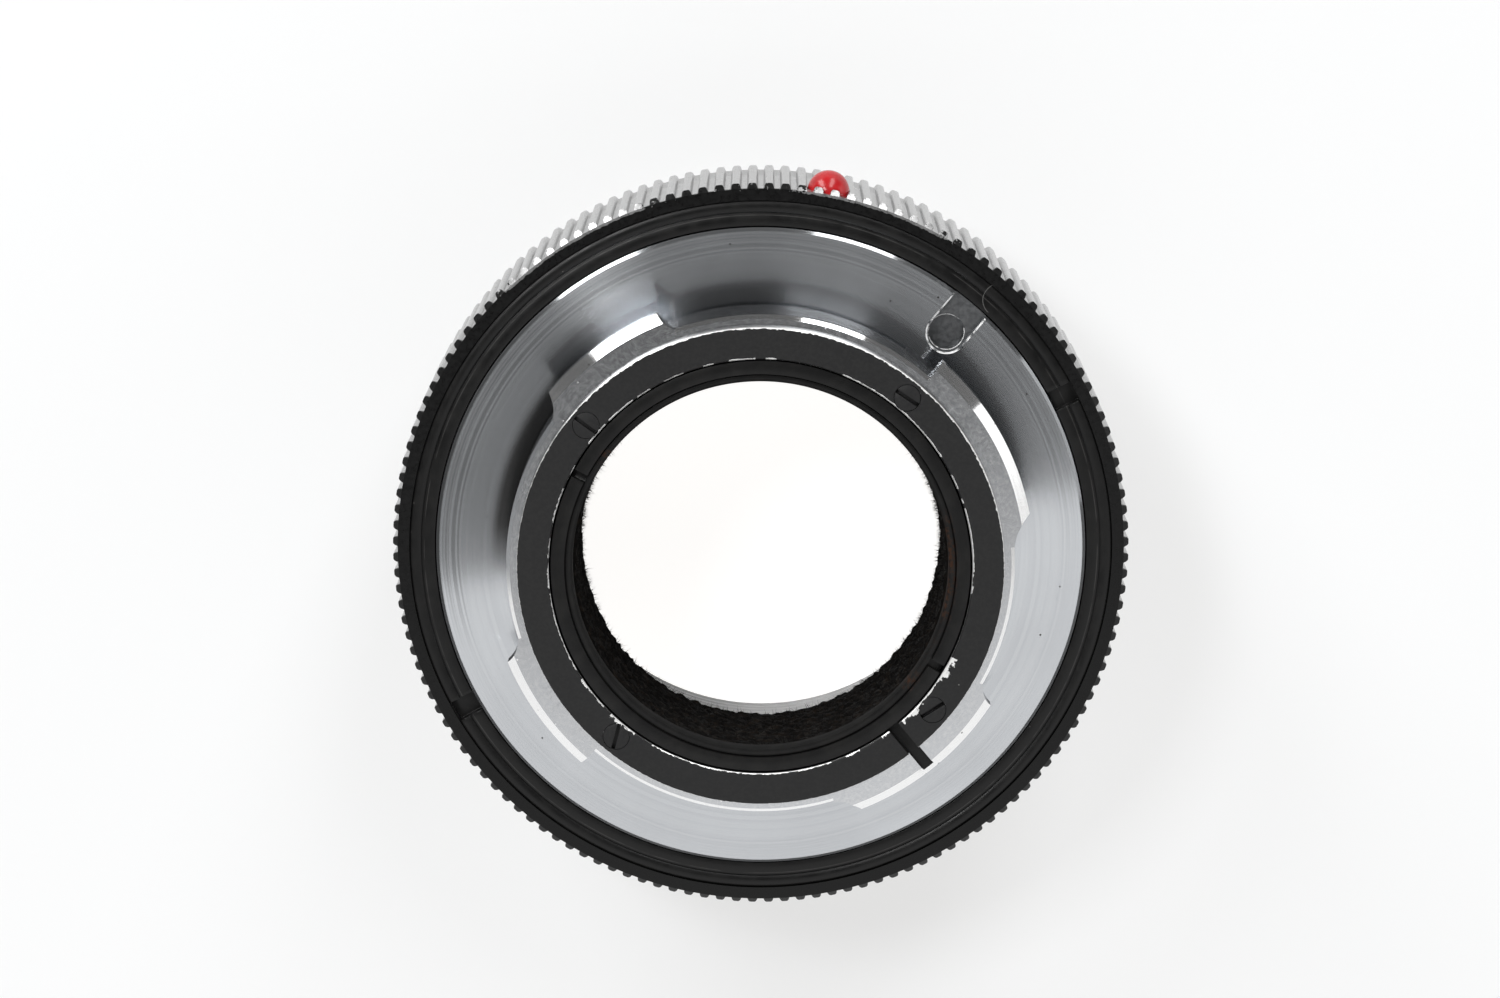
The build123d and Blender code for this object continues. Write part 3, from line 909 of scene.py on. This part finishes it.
# Baffle retaining ring: the spanner ring in the rim's mouth that clamps the tube's collar.
# Anodised alloy, screwed in; two notches take the spanner, and its inner lip has begun to rust-stain.
baffle_ring_foot_z = foot_of("baffle_retaining_ring")
baffle_ring_top_z = top_of("baffle_retaining_ring")
baffle_ring_reach = reach_of("baffle_retaining_ring")
clear_bore = 15.1
lip_radius = 15.6
band_radius = 15.72
lip_drop = 0.3
lip_groove = 0.35
baffle_notches = [152.6, 330.2]
baffle_notch_width = 0.65
baffle_notch_depth = 0.7
lip_z = baffle_ring_top_z - lip_drop
baffle_ring = turned("baffle_retaining_ring_turned", [
    (clear_bore, baffle_ring_foot_z),
    (baffle_ring_reach, baffle_ring_foot_z),
    (baffle_ring_reach, baffle_ring_top_z),
    (band_radius, baffle_ring_top_z),
    (band_radius, lip_z - lip_groove),
    (lip_radius, lip_z - lip_groove),
    (lip_radius, lip_z),
    (clear_bore, lip_z),
])
for angle in baffle_notches:
    notch_z = baffle_ring_top_z - baffle_notch_depth
    combine(baffle_ring, block(lip_radius, rim_bore, baffle_notch_width, notch_z, rim_z, angle))
soften(baffle_ring)


def stained_anodised():
    """Black anodised alloy with rust-brown stains that have crept along the inner lip."""
    finish = Finish("stained_anodised", Specular_IOR_Level=0.18)
    marks = finish.rings(finish.radius, 11.0, 3.0)
    where = finish.along_turn([
        (0, 1.0), (13, 0.9), (18, 0.0), (140, 0.0), (143, 0.9), (147, 0.0), (318, 0.0), (322, 0.9),
        (326, 0.1), (342, 0.1), (347, 1.0),
    ])
    rust = finish.times(where, finish.band(finish.noise(2.2, 5.0, 0.7), 0.46, 0.6))
    rust = finish.times(rust, finish.fade(finish.radius, lip_radius, band_radius + 0.2))
    worn = finish.noise(0.6, 5.0, 0.6)
    black = finish.blend(finish.band(worn, 0.35, 0.75), grey(0.007), (0.012, 0.0117, 0.0112, 1))
    finish.paint(Base_Color=finish.blend(rust, black, (0.035, 0.017, 0.01, 1)))
    lip_edge = finish.fade(finish.radius, clear_bore + 0.02, lip_radius - 0.1)
    matt = finish.math("MAXIMUM", rust, lip_edge)
    finish.paint(Roughness=finish.band(matt, 0.0, 1.0, 0.34, 1.0))
    return finish.paint(Normal=finish.bump(marks, 0.002))


dress(baffle_ring, stained_anodised())
placed(baffle_ring, "baffle_retaining_ring")

# Grip key pin: a plain steel pin pressed in the barrel, hidden under the grip ring.
# It keeps the grip, and the bead on it, in line with the lugs.
key_finish = Finish("ground_steel", Metallic=1.0, Roughness=0.35)
key_marks = key_finish.noise(3.0, 4.0)
key_tone = key_finish.blend(key_finish.band(key_marks, 0.3, 0.7), grey(0.42), grey(0.55))
dress(frame["nodes"]["grip_key_pin"], key_finish.paint(Base_Color=key_tone))

# Grip ring: the knurled chrome ring that the fingers turn, with a black end face and a seat for the bead.
# Brass, straight knurled with 140 ridges whose ends are turned down to a cone, then satin chromed.
ridge_count = 140
ridge_pitch = 360 / ridge_count
grip_top_z = top_of("grip_ring")
grip_bore = 27.1
grip_recess = 28.7
grip_recess_z = foot_of("grip_retaining_ring")
ridge_foot_radius = 29.65
ridge_height = 0.42
grip_radius = ridge_foot_radius + ridge_height
far_bevel = 0.3
bead_angle = 79.4
bead_inset = 2.25
bead_z = grip_top_z - bead_inset
bead_radius = 1.72
bead_gap = 0.03
bead_sink = 0.6
seat_floor = ridge_foot_radius - bead_sink
round_sides = 72
level_margin = 0.001
# Half of one ridge, from the valley up to the crest: share of half a pitch, and rise
ridge_half = [
    (-1.0, 0.0), (-0.68, 0.0), (-0.62, 0.04), (-0.53, 0.24), (-0.46, 0.34), (-0.37, 0.395),
    (-0.25, ridge_height),
]
ridge_profile = ridge_half + [(-share, rise) for share, rise in reversed(ridge_half)]
bevel_rows = 4


def ridge_columns():
    """One pitch of the knurl in plan: valley, rounded ridge, valley."""
    middle = 90 + ridge_pitch / 2
    return [
        polar(ridge_foot_radius + rise, middle + share * ridge_pitch / 2) for share, rise in ridge_profile
    ]


def end_cone(height):
    """Radius that the turned-down ends leave at a height."""
    from_top = ridge_foot_radius + (grip_top_z - height)
    from_seat = grip_radius - far_bevel + (height - grip_seat_z)
    return min(from_top, from_seat, grip_radius)


def pick_edges(piece, level):
    """Selects the edges that lie at a height in millimetres, from object mode."""
    for edge in piece.data.edges:
        ends = [piece.data.vertices[index].co.z / MM for index in edge.vertices]
        edge.select = all(abs(height - level) < level_margin for height in ends)


near_heights = [grip_top_z - ridge_height * row / bevel_rows for row in range(bevel_rows + 1)]
far_heights = [grip_seat_z + far_bevel * row / bevel_rows for row in range(bevel_rows, -1, -1)]
row_heights = near_heights + far_heights
columns = ridge_columns()
grip = seed("grip_ring_knurled", (columns[0] + Vector((0, 0, row_heights[0]))) * MM)
for start, end in zip(columns, columns[1:]):
    pull((end - start) * MM)
pick_all()
for start, end in zip(row_heights, row_heights[1:]):
    pull((0, 0, (end - start) * MM))
object_mode()
for vertex in grip.data.vertices:
    reach = hypot(vertex.co.x, vertex.co.y) / MM
    turned_down = min(1, end_cone(vertex.co.z / MM) / reach)
    vertex.co.x *= turned_down
    vertex.co.y *= turned_down
edit_mode()
pick_all()
bpy.ops.mesh.spin(steps=ridge_count, angle=2 * pi, center=(0, 0, 0), axis=(0, 0, 1), dupli=True)
pick_all()
bpy.ops.mesh.remove_doubles(threshold=WELD)
bpy.ops.mesh.select_all(action="DESELECT")
object_mode()
pick_edges(grip, grip_top_z)
edit_mode()
bpy.ops.mesh.select_mode(type="EDGE")
inside = [
    (grip_recess, grip_top_z),
    (grip_recess, grip_recess_z),
    (grip_bore, grip_recess_z),
    (grip_bore, grip_seat_z),
]
previous = (ridge_foot_radius, grip_top_z)
for radius, height in inside:
    pull((0, 0, (height - previous[1]) * MM))
    share = radius / previous[0]
    bpy.ops.transform.resize(value=(share, share, 1), center_override=(0, 0, 0))
    previous = (radius, height)
object_mode()
pick_edges(grip, grip_seat_z)
edit_mode()
bpy.ops.mesh.bridge_edge_loops()
bpy.ops.mesh.select_mode(type="VERT")
welded()
seat_middle = polar((seat_floor + grip_radius + bead_radius) / 2, bead_angle, bead_z) * MM
seat_length = (grip_radius + bead_radius - seat_floor) * MM
bpy.ops.mesh.primitive_cylinder_add(
    vertices=round_sides, radius=(bead_radius + bead_gap) * MM, depth=seat_length,
    location=seat_middle, rotation=(0, pi / 2, radians(bead_angle)),
)
combine(grip, bpy.context.object)
only(grip)
bpy.ops.object.shade_smooth_by_angle(angle=CREASE)


def knurl_chrome():
    """Satin chrome with painted shade in the valleys and on the flanks, and black enamel on the ring's end
    face, carried over the ends of the ridges as a painted dark reflection and left off, as bare chrome, at
    the turns where the lights are mirrored.
    """
    finish = Finish("knurl_chrome", Specular_IOR_Level=0.22)
    grain = finish.noise(3.0, 4.0, 0.6)
    crest = finish.blend(finish.band(grain, 0.3, 0.7), grey(0.43), grey(0.49))
    # Painted shade: the valleys are darker than the crests, and darker still in their far half.
    unshaded_valley_half = finish.band(finish.height, grip_top_z - 9.6, grip_top_z - 8.4)
    valley = finish.blend(unshaded_valley_half, grey(0.33), grey(0.42))
    # Painted shade on the ridge flanks, a little darker than the crests.
    flank_shade = finish.times(
        finish.band(finish.radius, ridge_foot_radius + 0.02, ridge_foot_radius + 0.08),
        finish.fade(finish.radius, grip_radius - 0.12, grip_radius - 0.04),
    )
    raised = finish.band(finish.radius, ridge_foot_radius + 0.02, ridge_foot_radius + 0.06)
    steel = finish.blend(raised, valley, crest)
    steel = finish.blend(flank_shade, steel, grey(0.4))
    # worn marks the turns where the black over the ridge ends is left off as bare chrome, from 63 to 81 and
    # 111 to 131 degrees, where the strip lights are mirrored; elsewhere that black is a painted dark
    # reflection.
    worn = finish.along_turn([
        (0, 0.3), (20, 0.25), (56, 0.3), (63, 1), (81, 1), (85, 0.35), (106, 0.35), (111, 1), (131, 1),
        (136, 0.3), (190, 0.2), (350, 0.25),
    ])
    edge = finish.band(finish.radius, ridge_foot_radius - 0.34, ridge_foot_radius - 0.1)
    ragged = finish.band(finish.noise(2.2, 4.0, 0.65), 0.3, 0.7)
    chrome_at_lit_turns = finish.math("GREATER_THAN", finish.times(worn, edge), finish.lifted(0.3, ragged, 0.6))
    ends_z = grip_top_z - ridge_height
    # painted: black enamel on the end face, and over the ridge ends a painted dark reflection.
    painted = finish.times(finish.band(finish.height, ends_z - 0.02, ends_z), finish.opposite(chrome_at_lit_turns))
    black = finish.blend(finish.band(grain, 0.3, 0.7), grey(0.003), grey(0.005))
    finish.paint(Base_Color=finish.blend(painted, steel, black))
    finish.paint(Metallic=finish.opposite(painted))
    finish.paint(Roughness=finish.band(grain, 0.3, 0.7, 0.26, 0.36))
    return finish.paint(Normal=finish.bump(finish.noise(8.0, 3.0), 0.003))


dress(grip, knurl_chrome())
placed(grip, "grip_ring")

# Index bead: the red bead that lines up with the camera's mark, pressed into its seat in the knurl.
# Moulded glossy plastic, a ball with a flat foot.
bpy.ops.object.select_all(action="DESELECT")
bead_edge = 0.06
bead_middle = polar(ridge_foot_radius, bead_angle, bead_z) * MM
bpy.ops.mesh.primitive_uv_sphere_add(
    segments=round_sides, ring_count=round_sides // 2, radius=bead_radius * MM, location=bead_middle,
)
index_bead = bpy.context.object
index_bead.name = "index_bead_moulded"
bpy.ops.object.transform_apply(location=True)
edit_mode()
cut_off(polar(seat_floor, bead_angle, bead_z) * MM, polar(1, bead_angle))
welded()
soften(index_bead, bead_edge)


def red_plastic():
    """Glossy red plastic, a little deeper in tone in places."""
    finish = Finish("red_plastic", Roughness=0.2, Specular_IOR_Level=0.4)
    tint = finish.noise(0.9, 3.0)
    tone = finish.blend(finish.band(tint, 0.3, 0.7), (0.36, 0.011, 0.014, 1), (0.45, 0.016, 0.019, 1))
    finish.paint(Base_Color=tone)
    return finish.paint(Normal=finish.bump(finish.noise(5.0, 3.0), 0.004))


dress(index_bead, red_plastic())
placed(index_bead, "index_bead")

# Grip retaining ring: the black spanner ring round the flange that holds the grip ring down.
# Anodised alloy: flat inner band, turned groove and rounded outer band, with two spanner notches.
retainer_foot_z = foot_of("grip_retaining_ring")
retainer_gap = 0.01
retainer_drop = 0.35
retainer_reach = grip_recess - retainer_gap
retainer_top_z = flange_z - retainer_drop
retainer_bore = 26.62
retainer_bead = 27.72
retainer_groove = 0.1
retainer_rise = 0.12
skirt_bore = 27.06
retainer_lip_gap = 0.05
lip_low_z = body_top_z + retainer_lip_gap
retainer_notches = [27.4, 208.6]
retainer_notch_width = 1.7
retainer_notch_depth = 0.8
crown_points = 8
crown = arc_through(
    Vector((retainer_reach, retainer_top_z, 0)),
    Vector(((retainer_bead + retainer_reach) / 2, retainer_top_z + retainer_rise, 0)),
    Vector((retainer_bead, retainer_top_z, 0)),
    crown_points,
)
retainer = turned("grip_retaining_ring_turned", [
    (retainer_bead, retainer_top_z - retainer_groove),
    (retainer_band, retainer_top_z),
    (retainer_bore, retainer_top_z),
    (retainer_bore, lip_low_z),
    (skirt_bore, lip_low_z),
    (skirt_bore, retainer_foot_z),
    (retainer_reach, retainer_foot_z),
] + [(point.x, point.y) for point in crown])
notch_inner = retainer_bore - cut_past
notch_outer = retainer_reach + cut_past
for angle in retainer_notches:
    notch_z = retainer_top_z - retainer_notch_depth
    combine(retainer, block(notch_inner, notch_outer, retainer_notch_width, notch_z, slot_top, angle))
soften(retainer)
dress(retainer, anodised)
placed(retainer, "grip_retaining_ring")

# Studio: a pale table in a grey room, a white panel overhead in front, two strip lights and a lamp behind
# and a low reflector at the right, all mirrored in the chrome. None of it belongs to the part.
FLOOR_SIZE = 3.0
FLOOR_DROP = 0.00002
table_colour = (0.358, 0.368, 0.378, 1)
glow_colour = (1, 0.985, 0.965, 1)
glow_inner = 21.0
glow_outer = 24.0
painted_light_in_bore = 0.95
glow_around = 0.545
room_level = 0.1
bpy.ops.object.select_all(action="DESELECT")
bpy.ops.mesh.primitive_plane_add(size=FLOOR_SIZE, location=(0, 0, -FLOOR_DROP))
floor = bpy.context.object
floor.name = "floor"
table = Finish("pale_table", Base_Color=table_colour, Roughness=0.9, Specular_IOR_Level=0.1)
rays = table.nodes.new("ShaderNodeLightPath")
seen = table.math("ADD", rays.outputs["Is Camera Ray"], rays.outputs["Is Glossy Ray"])
seen = table.math("ADD", seen, rays.outputs["Is Transmission Ray"], clamp=True)
# The table glows for camera and mirror rays: evenly round the ring, and brighter under the bore, a painted
# pool of light that lifts the shade inside the tube.
strength = table.band(table.radius, glow_inner, glow_outer, painted_light_in_bore, glow_around)
glow = table.node("Emission", "Emission", Color=glow_colour, Strength=table.times(seen, strength))
lit = table.nodes.new("ShaderNodeAddShader")
table.links.new(table.shader.outputs[0], lit.inputs[0])
table.links.new(glow, lit.inputs[1])
table.links.new(lit.outputs[0], table.nodes["Material Output"].inputs["Surface"])
floor.data.materials.append(table.material)

world = bpy.data.worlds.new("grey_room")
bpy.context.scene.world = world
world.use_nodes = True
room = world.node_tree.nodes["Background"]
room.inputs["Color"].default_value = grey(room_level)


def lamp(name, place, turn, width, height, radiance):
    """A soft rectangular lamp, its brightness given as the white that it shows in a mirror."""
    light = bpy.data.lights.new(name, "AREA")
    light.shape = "RECTANGLE"
    light.size = width
    light.size_y = height
    light.energy = radiance * pi * width * height
    holder = bpy.data.objects.new(name, light)
    holder.location = place
    holder.rotation_euler = turn
    holder.visible_camera = False
    bpy.context.scene.collection.objects.link(holder)


def strip(name, angle, rise, distance, width, height, radiance):
    """A lamp that faces the ring from an angle and a rise in degrees; other sizes in metres."""
    toward = polar(cos(radians(rise)), angle, sin(radians(rise)))
    turn = toward.to_track_quat("Z", "Y").to_euler()
    lamp(name, toward * distance + Vector((0, 0, flange_z * MM)), turn, width, height, radiance)


strip("strip_left", 126, 22, 0.6, 0.2, 0.44, 8.0)
strip("lamp_left", 132, 58, 0.6, 0.1, 0.14, 25.0)
strip("strip_right", 70, 30, 0.6, 0.19, 0.56, 6.5)
strip("reflector_right", 12.5, 14, 0.5, 0.27, 0.24, 1.3)
panel_width = 1.4
panel_radiance = 1.06
panel_turn = radians(9)
panel_edge = -0.0653
panel_depth = 1.0
panel_z = 0.34
panel_place = Vector((sin(panel_turn), -cos(panel_turn), 0)) * panel_depth / 2
panel_place += Vector((0, panel_edge, panel_z))
lamp("panel_front", panel_place, (0, 0, panel_turn), panel_width, panel_depth, panel_radiance)

# Camera: the photograph's view, almost along the ring's axis, with a long lens.
# The ring stands on its lens end, so that is from 78 degrees above the table.
CAMERA_DISTANCE = 330.0
CAMERA_TILT = radians(11.51)
CAMERA_SWING = radians(0.23)
AIM_RIGHT = 0.866
AIM_UP = 4.185
SENSOR_WIDTH = 36.0
PHOTO_WIDTH = 1500
PIXELS_PER_MM = 12.2495
toward = Vector((
    sin(CAMERA_SWING) * cos(CAMERA_TILT),
    sin(CAMERA_TILT),
    cos(CAMERA_SWING) * cos(CAMERA_TILT),
))
right = (-toward).cross(Vector((0, 1, 0))).normalized()
upward = right.cross(-toward)
camera_data = bpy.data.cameras.new("camera")
camera_data.sensor_width = SENSOR_WIDTH
camera_data.lens = PIXELS_PER_MM * CAMERA_DISTANCE / PHOTO_WIDTH * SENSOR_WIDTH
camera_data.clip_start = 0.01
camera_data.clip_end = 10
camera = bpy.data.objects.new("camera", camera_data)
eye = Vector((0, 0, flange_z)) + toward * CAMERA_DISTANCE - right * AIM_RIGHT + upward * AIM_UP
camera.matrix_world = Matrix.Translation(eye * MM) @ Matrix((right, upward, toward)).transposed().to_4x4()
bpy.context.scene.collection.objects.link(camera)
bpy.context.scene.camera = camera
bpy.context.scene.view_settings.view_transform = "Standard"
